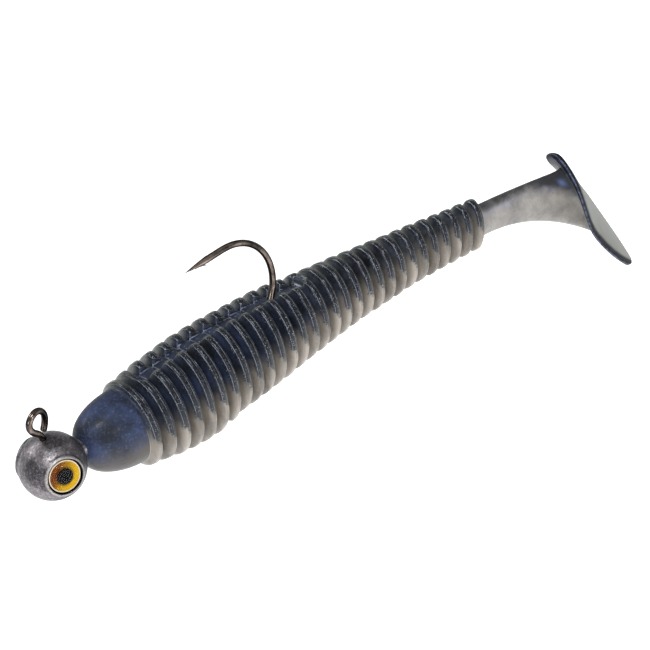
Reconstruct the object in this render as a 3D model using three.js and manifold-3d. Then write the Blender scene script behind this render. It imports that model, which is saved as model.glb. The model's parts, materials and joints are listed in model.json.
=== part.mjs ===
// A ribbed paddle-tail soft swimbait rigged on a ball-head jig.
// Millimetres, +X towards the tail, +Z towards the back, origin at the centre of the line tie.

import * as THREE from 'three';
import { mergeVertices } from 'three/addons/utils/BufferGeometryUtils.js';
import Module from 'manifold-3d';

const wasm = await Module();
wasm.setup();

// ---- Driving dimensions ----

const ballRadius = 5.4;
const ballCentre = new THREE.Vector3(0.3, 0, 3.0);
const lineTieCentre = new THREE.Vector3(0, 0, 11.7);

const wireRadius = 0.56;
const tieEndOffset = 1.15;
const cutGap = 0.3;
const shankSlope = -0.06;
const hookBendRadius = 8.85;
const hookRearX = 49.35;
const pointArmLength = 8.0;
const pointTaperLength = 5.0;
const barbLength = 1.9;
const barbHeight = 0.95;
const barbThickness = 0.5;
const barbSetback = 0.6;

// Centre line of the line-tie loop, from its free end round to the post:
// [x from the tie, share of tieEndOffset across, height from the tie].
const tieLoop = [
  [1.2, 1, -2.9],
  [1.6, 0.82, -1.8],
  [1.75, 0.6, -0.6],
  [1.55, 0.4, 0.5],
  [0.9, 0.2, 1.4],
  [0, 0.08, 1.75],
  [-1.0, 0, 1.45],
  [-1.7, 0, 0.65],
  [-1.8, 0, -0.3],
  [-1.35, 0, -1.2],
  [-0.6, 0, -2.0],
  [-0.1, 0, -2.8],
];

// The post under the loop, down to the shank: [x, height above the ball's centre].
const hookPost = [
  [0, 3],
  [0.1, 1.2],
  [0.8, 0.25],
];
const shankStartX = 3;

const eyeDirection = new THREE.Vector3(-0.25, -0.96, 0.12).normalize();
const eyeRimOuterRadius = 3.25;
const eyeRimInnerRadius = 2.85;
const eyeRimTop = 5.0;
const eyeRimStart = 3.4;
const eyeSocketLength = 3;
const eyeSocketFloor = 4.25;
const irisRadius = 2.65;
const pupilRadius = 1.32;
const lensHeight = 0.6;

// The lens profile: [share of its radius, share of its height].
const lensDome = [
  [1, 0],
  [0.82, 0.5],
  [0.45, 0.87],
  [0, 1],
];

const collarStart = 4;
const collarRadius = 1.7;
const collarBarbStart = 8.4;
const collarBarbTop = 8.5;
const collarBarbRadius = 2.2;
const collarEnd = 10.4;
const collarEndRadius = 1.6;

const ringCount = 29;
const ringPitch = 2.67;
const firstRingX = 16.4;
const ringCrestHalf = 0.62;
const ringFootHalf = 1.0;
const grooveDepth = 1.05;
const noseTipX = 5.7;
const noseRadius = 6.9;
const noseLift = 1.9;
const shoulderLift = 0.55;
const shoulderLength = 8;
const droopStartX = 17;
const droopRate = 0.00147;

const rigidRings = 14;
const ringsPerSegment = 3;
const segmentGap = 0.6;
const seamGap = 0.24;

const slotHalfWidth = 1.25;
const slotDepth = 1.8;
const slotStartRing = 0.6;
const notchStartRing = 5.55;
const notchRings = 2;
const notchDepth = 2.2;

const kneeRadius = 1.4;
const stemTopFront = 3.0;
const stemBottomFront = -2.6;
const stemHalfWidthFront = 1.3;
const stemHalfWidthRear = 0.9;
const stemSeamHeight = 1.2;
const webTopShare = 0.1;
const webLowShare = 0.79;
const webBendShare = 0.46;
const webBendRise = 1.2;
const tailSweep = -0.004;
const paddleTop = new THREE.Vector2(16.3, 6.0);
const paddleTip = new THREE.Vector2(29.9, -17.0);
const paddleHalfWidth = 7.3;
const paddleEgg = 0.4;
const paddleHalfThickness = 0.55;
const paddleCup = -0.025;
const paddleYawTop = THREE.MathUtils.degToRad(9);
const paddleYawTip = THREE.MathUtils.degToRad(25);
const paddleTwistShare = 0.5;
const flapGap = 0.6;

const eyeGap = 0.12;
const irisThickness = 0.2;

const roundSides = 20;

// Half-height and half-width of the ring crests along the body: [x, half-height, half-width].
const bodyStations = [
  [16.4, 7.8, 6.2],
  [22, 8.55, 6.9],
  [29, 8.8, 7.15],
  [37, 8.4, 6.95],
  [46, 7.9, 6.4],
  [54, 7.0, 5.5],
  [64, 6.0, 4.5],
  [75, 5.15, 3.5],
  [84, 4.75, 2.8],
  [92.4, 4.55, 2.4],
];

// Height of the two-colour seam above the centre line, as a share of the half-height.
const seamShareFront = -0.2;
const seamShareRear = 0.0;

const bodyEndX = firstRingX + (ringCount - 1) * ringPitch + ringFootHalf;

// ---- Small helpers ----

function solidFrom(geometry) {
  const bare = geometry.clone();
  bare.deleteAttribute('normal');
  bare.deleteAttribute('uv');
  const merged = mergeVertices(bare.index ? bare : mergeVertices(bare), 1e-4);
  const vertProperties = new Float32Array(merged.attributes.position.array);
  const triVerts = new Uint32Array(merged.index.array);
  return new wasm.Manifold(new wasm.Mesh({ numProp: 3, vertProperties, triVerts }));
}

function geometryFrom(solid) {
  const mesh = solid.getMesh();
  const geometry = new THREE.BufferGeometry();
  geometry.setAttribute('position', new THREE.BufferAttribute(new Float32Array(mesh.vertProperties), 3));
  geometry.setIndex(new THREE.BufferAttribute(new Uint32Array(mesh.triVerts), 1));
  return geometry;
}

function moveVertices(geometry, move) {
  const position = geometry.attributes.position;
  const point = new THREE.Vector3();
  for (let i = 0; i < position.count; i += 1) {
    point.fromBufferAttribute(position, i);
    move(point);
    position.setXYZ(i, point.x, point.y, point.z);
  }
  return geometry;
}

function valueAt(table, x, column) {
  const last = table.length - 1;
  if (x <= table[0][0]) return table[0][column];
  if (x >= table[last][0]) return table[last][column];
  const after = table.findIndex((row) => row[0] > x);
  const low = table[after - 1];
  const high = table[after];
  const share = (x - low[0]) / (high[0] - low[0]);
  return THREE.MathUtils.lerp(low[column], high[column], share);
}

function material(color, roughness, metalness) {
  return new THREE.MeshStandardMaterial({ color, roughness, metalness });
}

// ---- The body's own space: along x, across y, and h above the curved centre line ----

function noseRise(x) {
  const share = Math.max(firstRingX - x, 0) / (firstRingX - noseTipX);
  return noseLift * share ** 1.5;
}

function centreHeight(x) {
  const shoulder = Math.max(1 - Math.max(x - firstRingX, 0) / shoulderLength, 0) ** 2;
  return noseRise(x) + shoulderLift * shoulder - droopRate * Math.max(x - droopStartX, 0) ** 2;
}

function centreSlope(x) {
  return x < droopStartX ? 0 : -2 * droopRate * (x - droopStartX);
}

function toBody(point) {
  const slope = centreSlope(point.x);
  const length = Math.hypot(1, slope);
  const x = point.x - (slope / length) * point.z;
  const z = centreHeight(point.x) + point.z / length;
  point.set(x, point.y, z);
}

function seamHeight(x) {
  const share = THREE.MathUtils.clamp((x - firstRingX) / (bodyEndX - firstRingX), 0, 1);
  const height = THREE.MathUtils.lerp(seamShareFront, seamShareRear, share) * valueAt(bodyStations, x, 1);
  return height - noseRise(x);
}

// A round solid about the centre line. Each profile row is [x, share of the crest radius].
function bodySolid(profile) {
  const points = profile.map(([x, share]) => new THREE.Vector2(share, x));
  const lathe = new THREE.LatheGeometry(points, roundSides);
  moveVertices(lathe, (point) => {
    const x = point.y;
    const across = point.z * valueAt(bodyStations, x, 2);
    const height = point.x * valueAt(bodyStations, x, 1);
    point.set(x, across, height);
    toBody(point);
  });
  return solidFrom(lathe);
}

function grooveShare(x) {
  return 1 - grooveDepth / valueAt(bodyStations, x, 1);
}

function ringRows(first, last) {
  const rows = [];
  for (let ring = first; ring <= last; ring += 1) {
    const x = firstRingX + (ring - 1) * ringPitch;
    rows.push([x - ringFootHalf, grooveShare(x)]);
    rows.push([x - ringCrestHalf, 1]);
    rows.push([x + ringCrestHalf, 1]);
    rows.push([x + ringFootHalf, grooveShare(x)]);
  }
  return rows;
}

function noseRows() {
  const rows = [[noseTipX, 0]];
  const steps = 7;
  const length = firstRingX - ringFootHalf - noseTipX;
  const fullShare = noseRadius / valueAt(bodyStations, firstRingX, 1);
  for (let step = 0; step < steps; step += 1) {
    const turn = ((step + 1) / (steps + 1)) * (Math.PI / 2);
    const x = noseTipX + length * (1 - Math.cos(turn)) ** 0.9;
    rows.push([x, fullShare * Math.sin(turn) ** 0.92]);
  }
  return rows;
}

// A block in body space from xStart to xEnd, halfWidth to each side, between two heights.
function bodyBlock(xStart, xEnd, halfWidth, lowAt, highAt) {
  const length = xEnd - xStart;
  const steps = Math.max(1, Math.round(length / 4));
  const block = new THREE.BoxGeometry(length, 2 * halfWidth, 1, steps, 1, 1);
  moveVertices(block, (point) => {
    const x = point.x + xStart + length / 2;
    const height = point.z > 0 ? highAt(x) : lowAt(x);
    point.set(x, point.y, height);
    toBody(point);
  });
  return solidFrom(block);
}

// ---- Hook wire ----

const hookTilt = Math.atan(shankSlope);
const hookBendCentre = new THREE.Vector2(
  hookRearX - hookBendRadius,
  ballCentre.z + shankSlope * (hookRearX - hookBendRadius) + hookBendRadius / Math.cos(hookTilt),
);

function onBend(angle) {
  const turned = angle + hookTilt;
  return new THREE.Vector3(
    hookBendCentre.x + hookBendRadius * Math.cos(turned),
    0,
    hookBendCentre.y + hookBendRadius * Math.sin(turned),
  );
}

function hookRoute() {
  const points = [];
  const tie = lineTieCentre;
  for (const [x, share, z] of tieLoop) {
    points.push(new THREE.Vector3(tie.x + x, share * tieEndOffset, tie.z + z));
  }
  for (const [x, z] of hookPost) {
    points.push(new THREE.Vector3(x, 0, ballCentre.z + z));
  }
  const shankSteps = 7;
  const shankEnd = onBend(-Math.PI / 2);
  for (let step = 0; step < shankSteps; step += 1) {
    const x = THREE.MathUtils.lerp(shankStartX, shankEnd.x - shankStartX, step / (shankSteps - 1));
    points.push(new THREE.Vector3(x, 0, ballCentre.z + shankSlope * x));
  }
  const bendSteps = 14;
  for (let step = 0; step <= bendSteps; step += 1) {
    points.push(onBend(-Math.PI / 2 + (Math.PI * step) / bendSteps));
  }
  const armStart = onBend(Math.PI / 2);
  const along = new THREE.Vector3(-Math.cos(hookTilt), 0, -Math.sin(hookTilt));
  const armSteps = 3;
  for (let step = 1; step <= armSteps; step += 1) {
    const reach = ((pointArmLength - pointTaperLength) * step) / armSteps;
    points.push(armStart.clone().addScaledVector(along, reach));
  }
  return { points, along };
}

const hookPath = hookRoute();

function wireSolid(points, radius, steps, sides) {
  const section = new THREE.Shape();
  section.absarc(0, 0, radius, 0, 2 * Math.PI, false);
  const extrudePath = new THREE.CatmullRomCurve3(points, false, 'centripetal');
  const tube = new THREE.ExtrudeGeometry(section, { steps, curveSegments: sides, extrudePath });
  return solidFrom(tube);
}

function hookSolid() {
  const { points, along } = hookPath;
  const wire = wireSolid(points, wireRadius, 84, 4);
  const taper = new THREE.LatheGeometry([
    new THREE.Vector2(0, -0.4),
    new THREE.Vector2(wireRadius * 0.97, -0.4),
    new THREE.Vector2(wireRadius * 0.97, 0),
    new THREE.Vector2(wireRadius * 0.72, pointTaperLength * 0.5),
    new THREE.Vector2(wireRadius * 0.3, pointTaperLength * 0.85),
    new THREE.Vector2(0, pointTaperLength),
  ], 10);
  const turn = new THREE.Quaternion().setFromUnitVectors(new THREE.Vector3(0, 1, 0), along);
  const taperStart = points[points.length - 1];
  taper.applyQuaternion(turn).translate(taperStart.x, taperStart.y, taperStart.z);
  const barbShape = new THREE.Shape();
  barbShape.moveTo(0, 0);
  barbShape.lineTo(barbLength, -barbHeight);
  barbShape.lineTo(barbLength * 0.8, 0);
  const barb = new THREE.ExtrudeGeometry(barbShape, { depth: barbThickness, bevelEnabled: false });
  barb.rotateX(Math.PI / 2).translate(0, barbThickness / 2, 0).rotateY(-hookTilt);
  const barbAt = taperStart.clone().addScaledVector(along, barbSetback);
  barb.translate(barbAt.x, barbAt.y, barbAt.z - wireRadius * 0.5);
  return wire.add(solidFrom(taper)).add(solidFrom(barb));
}

function hookChannel() {
  const { points } = hookPath;
  return wireSolid(points, wireRadius + cutGap * 1.15, 64, 4);
}

// ---- Jig head: ball, eye rims, and the collar that the nose is pushed over ----

function alongEye(geometry, side, start) {
  const direction = eyeDirection.clone();
  direction.y *= side;
  const turn = new THREE.Quaternion().setFromUnitVectors(new THREE.Vector3(0, 1, 0), direction);
  const at = ballCentre.clone().addScaledVector(direction, start);
  return geometry.applyQuaternion(turn).translate(at.x, at.y, at.z);
}

function discProfile(radius, height) {
  return [
    new THREE.Vector2(0, 0),
    new THREE.Vector2(radius, 0),
    new THREE.Vector2(radius, height),
    new THREE.Vector2(0, height),
  ];
}

function jigHeadSolid() {
  const ball = new THREE.SphereGeometry(ballRadius, 26, 16);
  ball.translate(ballCentre.x, ballCentre.y, ballCentre.z);
  let head = solidFrom(ball);
  for (const side of [1, -1]) {
    const rim = new THREE.LatheGeometry(discProfile(eyeRimOuterRadius, eyeRimTop - eyeRimStart), 24);
    head = head.add(solidFrom(alongEye(rim, side, eyeRimStart)));
    const socket = new THREE.LatheGeometry(discProfile(eyeRimInnerRadius, eyeSocketLength), 24);
    head = head.subtract(solidFrom(alongEye(socket, side, eyeSocketFloor)));
  }
  const collar = new THREE.LatheGeometry([
    new THREE.Vector2(0, collarStart),
    new THREE.Vector2(collarRadius, collarStart),
    new THREE.Vector2(collarRadius, collarBarbStart),
    new THREE.Vector2(collarBarbRadius, collarBarbTop),
    new THREE.Vector2(collarEndRadius, collarEnd),
    new THREE.Vector2(0, collarEnd),
  ], 14);
  collar.rotateZ(-Math.PI / 2 + hookTilt).translate(0, 0, ballCentre.z);
  return head.add(solidFrom(collar)).subtract(hookChannel());
}

function collarBore() {
  const bore = new THREE.LatheGeometry([
    new THREE.Vector2(0, collarStart - 1),
    new THREE.Vector2(collarBarbRadius + cutGap, collarStart - 1),
    new THREE.Vector2(collarBarbRadius + cutGap, collarEnd + cutGap),
    new THREE.Vector2(0, collarEnd + cutGap),
  ], 14);
  bore.rotateZ(-Math.PI / 2 + hookTilt).translate(0, 0, ballCentre.z);
  return solidFrom(bore);
}

// ---- Soft body ----

const farHeight = 30;
const farWidth = 12;

function splitAtSeam(solid, xStart, xEnd) {
  const above = bodyBlock(xStart, xEnd, farWidth, (x) => seamHeight(x) + seamGap / 2, () => farHeight);
  const below = bodyBlock(xStart, xEnd, farWidth, () => -farHeight, (x) => seamHeight(x) - seamGap / 2);
  return { back: solid.intersect(above), belly: solid.intersect(below) };
}

function foreBodySolid() {
  const lastRingX = firstRingX + (rigidRings - 1) * ringPitch;
  const endX = lastRingX + ringPitch / 2 - segmentGap / 2;
  const profile = [...noseRows(), ...ringRows(1, rigidRings), [endX, grooveShare(endX)], [endX, 0]];
  let body = bodySolid(profile);
  const slotStart = firstRingX + ringPitch * slotStartRing;
  const slotFloor = (x) => valueAt(bodyStations, x, 1) - slotDepth;
  const slot = bodyBlock(slotStart, endX + 1, slotHalfWidth, slotFloor, () => farHeight);
  const notchStart = firstRingX + ringPitch * notchStartRing;
  const notchEnd = notchStart + notchRings * ringPitch;
  const notchTop = (x) => notchDepth - valueAt(bodyStations, x, 1);
  const notch = bodyBlock(notchStart, notchEnd, farWidth, () => -farHeight, notchTop);
  body = body.subtract(slot).subtract(notch);
  return { body: body.subtract(hookChannel()).subtract(collarBore()), endX };
}

function segmentSpan(index) {
  const firstRing = rigidRings + 1 + index * ringsPerSegment;
  const lastRing = firstRing + ringsPerSegment - 1;
  const startX = firstRingX + (firstRing - 1.5) * ringPitch + segmentGap / 2;
  const isLast = lastRing === ringCount;
  const endX = isLast ? bodyEndX : firstRingX + (lastRing - 0.5) * ringPitch - segmentGap / 2;
  return { firstRing, lastRing, startX, endX };
}

function segmentSolid(index) {
  const { firstRing, lastRing, startX, endX } = segmentSpan(index);
  const rows = ringRows(firstRing, lastRing);
  const profile = [[startX, 0], [startX, grooveShare(startX)], ...rows, [endX, 0]];
  if (endX !== bodyEndX) profile.splice(-1, 0, [endX, grooveShare(endX)]);
  return bodySolid(profile);
}

// ---- Tail: a thin stem that deepens into a web, and the paddle across its end ----

const tailOrigin = new THREE.Vector3(bodyEndX + segmentGap + kneeRadius, 0, 0);
toBody(tailOrigin);

// The tail is drawn flat along +x, then swept sideways and laid along the drooping body.
function toTail(point) {
  const reach = Math.max(point.x, 0);
  const x = point.x - 2 * tailSweep * reach * point.y;
  const y = tailSweep * reach ** 2 + point.y;
  const slope = centreSlope(bodyEndX);
  const length = Math.hypot(1, slope);
  point.set(
    tailOrigin.x + (x - slope * point.z) / length,
    y,
    tailOrigin.z + (slope * x + point.z) / length,
  );
}

function bendTail(solid) {
  return solidFrom(moveVertices(geometryFrom(solid), toTail));
}

const paddleLength = paddleTop.distanceTo(paddleTip);

// The paddle is twisted along its length: it turns further from square towards the tip.
function twistPaddle(point) {
  const turned = THREE.MathUtils.smoothstep(point.x / paddleLength, 0, paddleTwistShare);
  const yaw = THREE.MathUtils.lerp(paddleYawTop, paddleYawTip, turned);
  const across = point.y * Math.cos(yaw) - point.z * Math.sin(yaw);
  const out = point.y * Math.sin(yaw) + point.z * Math.cos(yaw);
  point.set(point.x, across, out);
}

// Paddle space: x runs from the top lobe to the tip, y across, z out of the rear face.
function placePaddle(geometry) {
  const lean = Math.atan2(paddleTip.y - paddleTop.y, paddleTip.x - paddleTop.x);
  moveVertices(geometry, twistPaddle);
  geometry.rotateY(-lean);
  return geometry.translate(paddleTop.x, 0, paddleTop.y);
}

function paddleWidthAt(share) {
  const end = 0.012;
  const inside = THREE.MathUtils.clamp(share, end, 1 - end);
  const oval = (1 - Math.abs(2 * inside - 1) ** 2.3) ** 0.62;
  return paddleHalfWidth * oval * (1 + paddleEgg * (1 - 2 * inside));
}

function paddleSolid() {
  const plate = new THREE.BoxGeometry(1, 2, 2 * paddleHalfThickness, 18, 8, 1);
  moveVertices(plate, (point) => {
    const share = point.x + 0.5;
    const across = point.y * paddleWidthAt(share);
    point.set(share * paddleLength, across, point.z + paddleCup * across ** 2);
  });
  return bendTail(solidFrom(placePaddle(plate)));
}

// Everything from a little in front of the paddle backwards, used to trim the web.
function paddleClearance() {
  const block = new THREE.BoxGeometry(3 * paddleLength, 4 * paddleHalfWidth, farHeight, 36, 4, 1);
  block.translate(paddleLength / 2, 0, farHeight / 2 - paddleHalfThickness - flapGap);
  return solidFrom(placePaddle(block));
}

function stemSolid() {
  const webTop = paddleTop.clone().lerp(paddleTip, webTopShare);
  const webLow = paddleTop.clone().lerp(paddleTip, webLowShare);
  const topFront = new THREE.Vector2(-kneeRadius, stemTopFront);
  const lowFront = new THREE.Vector2(-kneeRadius, stemBottomFront);
  const lowBend = new THREE.Vector2(webLow.x * webBendShare, stemBottomFront + webBendRise);
  const lowEdge = new THREE.QuadraticBezierCurve(lowFront, lowBend, webLow);
  const topEdge = new THREE.LineCurve(topFront, webTop);
  const stem = new THREE.BoxGeometry(1, 2, 1, 14, 1, 4);
  moveVertices(stem, (point) => {
    const share = point.x + 0.5;
    const at = lowEdge.getPoint(share).lerp(topEdge.getPoint(share), point.z + 0.5);
    const halfWidth = THREE.MathUtils.lerp(stemHalfWidthFront, stemHalfWidthRear, share);
    point.set(at.x, point.y * halfWidth, at.y);
  });
  return solidFrom(stem).subtract(paddleClearance());
}

function stemSide(side) {
  const reach = 2 * paddleTip.x;
  const sheet = new THREE.BoxGeometry(reach, 2 * farHeight, farHeight, 20, 1, 1);
  sheet.translate(reach / 2 - 2 * kneeRadius, 0, side * (farHeight / 2 + seamGap / 2) + stemSeamHeight);
  return solidFrom(sheet);
}

// The stem's front end is rounded about the upright axis that it swings on.
function stemHalves() {
  const knee = new THREE.CylinderGeometry(kneeRadius, kneeRadius, 2 * farHeight, 16);
  const front = new THREE.BoxGeometry(2 * kneeRadius, 2 * farHeight, 2 * farHeight);
  front.translate(-kneeRadius, 0, 0);
  const corners = solidFrom(front).subtract(solidFrom(knee.rotateX(Math.PI / 2)));
  const rounded = stemSolid().subtract(corners);
  return {
    back: bendTail(rounded.intersect(stemSide(1))),
    belly: bendTail(rounded.intersect(stemSide(-1))),
  };
}

// ---- The assembled object ----

const lead = () => material('#4a4a4c', 0.42, 0.85);
const blackNickel = () => material('#3b3b3e', 0.28, 0.95);
const irisFoil = () => material('#c9891c', 0.35, 0.6);
const pupilInk = () => material('#0b0b0c', 0.25, 0);
const clearDome = () => material('#d8d2c0', 0.08, 0);
const backPour = () => material('#2f3542', 0.32, 0);
const bellyPour = () => material('#a8a294', 0.35, 0);

const swimbait = new THREE.Group();

function addNode(name, solid, finish) {
  const geometry = geometryFrom(solid);
  geometry.translate(-lineTieCentre.x, -lineTieCentre.y, -lineTieCentre.z);
  const mesh = new THREE.Mesh(geometry, finish);
  mesh.name = name;
  swimbait.add(mesh);
}

function addEye(side, sideName) {
  const iris = new THREE.LatheGeometry(discProfile(irisRadius, irisThickness), 24);
  const irisStart = eyeSocketFloor + eyeGap;
  addNode(`iris_${sideName}`, solidFrom(alongEye(iris, side, irisStart)), irisFoil());
  const pupil = new THREE.LatheGeometry(discProfile(pupilRadius, irisThickness), 20);
  const pupilStart = irisStart + irisThickness + eyeGap;
  addNode(`pupil_${sideName}`, solidFrom(alongEye(pupil, side, pupilStart)), pupilInk());
  const lensStart = pupilStart + irisThickness + eyeGap;
  const domeRow = ([out, up]) => new THREE.Vector2(irisRadius * out, lensHeight * up);
  const lens = new THREE.LatheGeometry([new THREE.Vector2(0, 0), ...lensDome.map(domeRow)], 24);
  addNode(`lens_${sideName}`, solidFrom(alongEye(lens, side, lensStart)), clearDome());
}

addNode('jig_head', jigHeadSolid(), lead());
addNode('hook', hookSolid(), blackNickel());
addEye(1, 'left');
addEye(-1, 'right');

const fore = foreBodySolid();
const foreHalves = splitAtSeam(fore.body, noseTipX - 2, fore.endX + 2);
addNode('fore_back', foreHalves.back, backPour());
addNode('fore_belly', foreHalves.belly, bellyPour());

const segmentCount = (ringCount - rigidRings) / ringsPerSegment;
for (let index = 0; index < segmentCount; index += 1) {
  const { startX, endX } = segmentSpan(index);
  const halves = splitAtSeam(segmentSolid(index), startX - 2, endX + 2);
  addNode(`flex_${index + 1}_back`, halves.back, backPour());
  addNode(`flex_${index + 1}_belly`, halves.belly, bellyPour());
}

const stem = stemHalves();
addNode('stem_back', stem.back, backPour());
addNode('stem_belly', stem.belly, bellyPour());
addNode('paddle', paddleSolid(), bellyPour());

export default swimbait;
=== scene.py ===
"""Looks for the ribbed paddle-tail swimbait: soft skins, jig head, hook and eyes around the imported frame."""
import json
import math

import bmesh
import bpy
import numpy as np
from mathutils import Matrix, Vector


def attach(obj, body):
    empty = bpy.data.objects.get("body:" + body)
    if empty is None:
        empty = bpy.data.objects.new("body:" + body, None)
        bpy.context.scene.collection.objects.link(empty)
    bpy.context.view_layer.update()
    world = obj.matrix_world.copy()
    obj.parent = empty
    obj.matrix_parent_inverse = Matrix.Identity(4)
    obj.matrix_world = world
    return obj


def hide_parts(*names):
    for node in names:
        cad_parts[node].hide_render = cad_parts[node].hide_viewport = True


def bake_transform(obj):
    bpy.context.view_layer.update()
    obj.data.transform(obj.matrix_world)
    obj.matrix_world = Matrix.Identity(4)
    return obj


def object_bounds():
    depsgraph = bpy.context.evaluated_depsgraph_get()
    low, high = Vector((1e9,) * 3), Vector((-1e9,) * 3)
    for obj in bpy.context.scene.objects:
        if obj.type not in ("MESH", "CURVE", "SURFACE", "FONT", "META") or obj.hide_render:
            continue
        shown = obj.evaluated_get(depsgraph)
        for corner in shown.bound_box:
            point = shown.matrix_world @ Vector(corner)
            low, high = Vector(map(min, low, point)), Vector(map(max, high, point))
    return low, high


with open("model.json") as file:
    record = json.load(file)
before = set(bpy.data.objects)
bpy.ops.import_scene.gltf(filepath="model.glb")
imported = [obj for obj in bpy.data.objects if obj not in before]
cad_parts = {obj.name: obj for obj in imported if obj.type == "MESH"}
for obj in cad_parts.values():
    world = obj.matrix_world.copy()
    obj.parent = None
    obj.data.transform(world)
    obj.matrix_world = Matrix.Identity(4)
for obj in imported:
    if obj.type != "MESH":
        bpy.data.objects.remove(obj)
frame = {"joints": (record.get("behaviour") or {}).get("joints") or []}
cad_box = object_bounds()
scene = bpy.context.scene

MM = 0.001
TIE_HEIGHT = 11.7            # the line tie, above the axis of the front rings

# ---------------------------------------------------------------- camera
VIEW_AZIMUTH = math.radians(-36.95)
VIEW_ELEVATION = math.radians(34.62)
VIEW_ROLL = math.radians(-13.15)
SENSOR_WIDTH = 36
VIEW_LENS = 6.923077 * SENSOR_WIDTH
CAMERA_PLACE = Vector((-299.4, -474.0, 402.8 - TIE_HEIGHT)) * MM

camera_data = bpy.data.cameras.new("camera")
camera = bpy.data.objects.new("camera", camera_data)
scene.collection.objects.link(camera)
scene.camera = camera
camera_data.lens = VIEW_LENS
camera_data.sensor_width = SENSOR_WIDTH
camera_data.clip_start = 0.01
camera_data.clip_end = 200
to_eye = Vector((
    math.sin(VIEW_AZIMUTH) * math.cos(VIEW_ELEVATION),
    -math.cos(VIEW_AZIMUTH) * math.cos(VIEW_ELEVATION),
    math.sin(VIEW_ELEVATION),
))
level_right = Vector((math.cos(VIEW_AZIMUTH), math.sin(VIEW_AZIMUTH), 0))
level_up = to_eye.cross(level_right)
right = level_right * math.cos(VIEW_ROLL) + level_up * math.sin(VIEW_ROLL)
up = level_up * math.cos(VIEW_ROLL) - level_right * math.sin(VIEW_ROLL)
turn = Matrix((right, up, to_eye)).transposed().to_4x4()
camera.matrix_world = Matrix.Translation(CAMERA_PLACE) @ turn

# ---------------------------------------------------------------- body dimensions, mm
RING_COUNT = 29
RING_PITCH = 2.67
FIRST_RING_X = 16.4
GROOVE_DEPTH = 1.9
NOSE_TIP_X = 5.7
NOSE_RADIUS = 6.9
NOSE_LIFT = 1.9
NOSE_FLATNESS = 0.06
NOSE_END_X = FIRST_RING_X - 1.0
NOSE_ROUNDING = 0.9
NOSE_POWER = 0.8
NOSE_UNDER_POWER = 0.5
SHOULDER_LIFT = 0.55
SHOULDER_LENGTH = 8
DROOP_START_X = 17
DROOP_RATE = 0.00147
LAST_RING_X = FIRST_RING_X + (RING_COUNT - 1) * RING_PITCH
BODY_END_X = LAST_RING_X + 1.0
KNEE_X = BODY_END_X + 2.0
STATION_X = (16.4, 22, 29, 37, 46, 54, 64, 75, 84, 92.4)
STATION_HALF_HEIGHT = (7.8, 8.55, 8.8, 8.4, 7.9, 7.0, 6.0, 5.15, 4.75, 4.55)
STATION_HALF_WIDTH = (6.2, 6.9, 7.15, 6.95, 6.4, 5.5, 4.5, 3.5, 2.8, 2.4)
SEAM_SHARE_FRONT = -0.2
SEAM_SHARE_REAR = 0.0
SIDES = 192

# Shading value "lap": mm behind a ring's middle, or one of these where there is no ring.
IN_SLOT_LAP = -1.6
NOSE_LAP = -2.6
TAIL_LAP = -4.2
TAIL_LAP_SPREAD = 0.5


def smooth(low, high, value):
    share = np.clip((value - low) / (high - low), 0, 1)
    return share * share * (3 - 2 * share)


def half_height(x):
    return np.interp(x, STATION_X, STATION_HALF_HEIGHT)


def half_width(x):
    return np.interp(x, STATION_X, STATION_HALF_WIDTH)


def nose_rise(x):
    share = np.maximum(FIRST_RING_X - x, 0) / (FIRST_RING_X - NOSE_TIP_X)
    return NOSE_LIFT * share ** 1.5


def centre_height(x):
    shoulder = np.maximum(1 - np.maximum(x - FIRST_RING_X, 0) / SHOULDER_LENGTH, 0) ** 2
    droop = DROOP_RATE * np.maximum(x - DROOP_START_X, 0) ** 2
    return nose_rise(x) + SHOULDER_LIFT * shoulder - droop


def centre_slope(x):
    return -2 * DROOP_RATE * np.maximum(x - DROOP_START_X, 0)


def to_body(x, y, height):
    """Body space, along x and above the drooping centre line, to row-frame metres."""
    slope = centre_slope(x)
    length = np.hypot(1, slope)
    return np.stack([
        x - slope / length * height,
        y + 0 * x,
        centre_height(x) + height / length - TIE_HEIGHT,
    ], -1) * MM


def seam_height(x):
    share = np.clip((x - FIRST_RING_X) / (BODY_END_X - FIRST_RING_X), 0, 1)
    level = SEAM_SHARE_FRONT + (SEAM_SHARE_REAR - SEAM_SHARE_FRONT) * share
    return level * half_height(x) - nose_rise(x)


# ---------------------------------------------------------------- mesh helpers
def new_object(name, vertices, faces, smooth_faces=True, crease=80):
    mesh = bpy.data.meshes.new(name)
    mesh.from_pydata([tuple(v) for v in vertices], [], faces)
    mesh.update()
    if smooth_faces:
        mesh.shade_smooth()
        mesh.set_sharp_from_angle(angle=math.radians(crease))
    thing = bpy.data.objects.new(name, mesh)
    scene.collection.objects.link(thing)
    return thing


def add_values(thing, name, values):
    attribute = thing.data.attributes.new(name, "FLOAT", "POINT")
    attribute.data.foreach_set("value", np.asarray(values, np.float32))


def loft_faces(rows, sides, cap_start=False, cap_end=False):
    faces = []
    for row in range(rows - 1):
        for side in range(sides):
            after = (side + 1) % sides
            faces.append((
                row * sides + side, row * sides + after,
                (row + 1) * sides + after, (row + 1) * sides + side,
            ))
    if cap_start:
        faces.append(tuple(reversed(range(sides))))
    if cap_end:
        faces.append(tuple(range((rows - 1) * sides, rows * sides)))
    return faces


def flip_if_inside_out(thing):
    bm = bmesh.new()
    bm.from_mesh(thing.data)
    bmesh.ops.recalc_face_normals(bm, faces=bm.faces)
    bm.to_mesh(thing.data)
    bm.free()


def join(target, other):
    """Make one object of two, under the first one's name."""
    bpy.ops.object.select_all(action="DESELECT")
    other.select_set(True)
    target.select_set(True)
    bpy.context.view_layer.objects.active = target
    bpy.ops.object.join()


def around(sides):
    return 2 * np.pi * np.arange(sides) / sides


def squarer(value, power):
    """A cosine or sine bent towards a rounder or squarer section."""
    return np.sign(value) * np.abs(value) ** power


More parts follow.
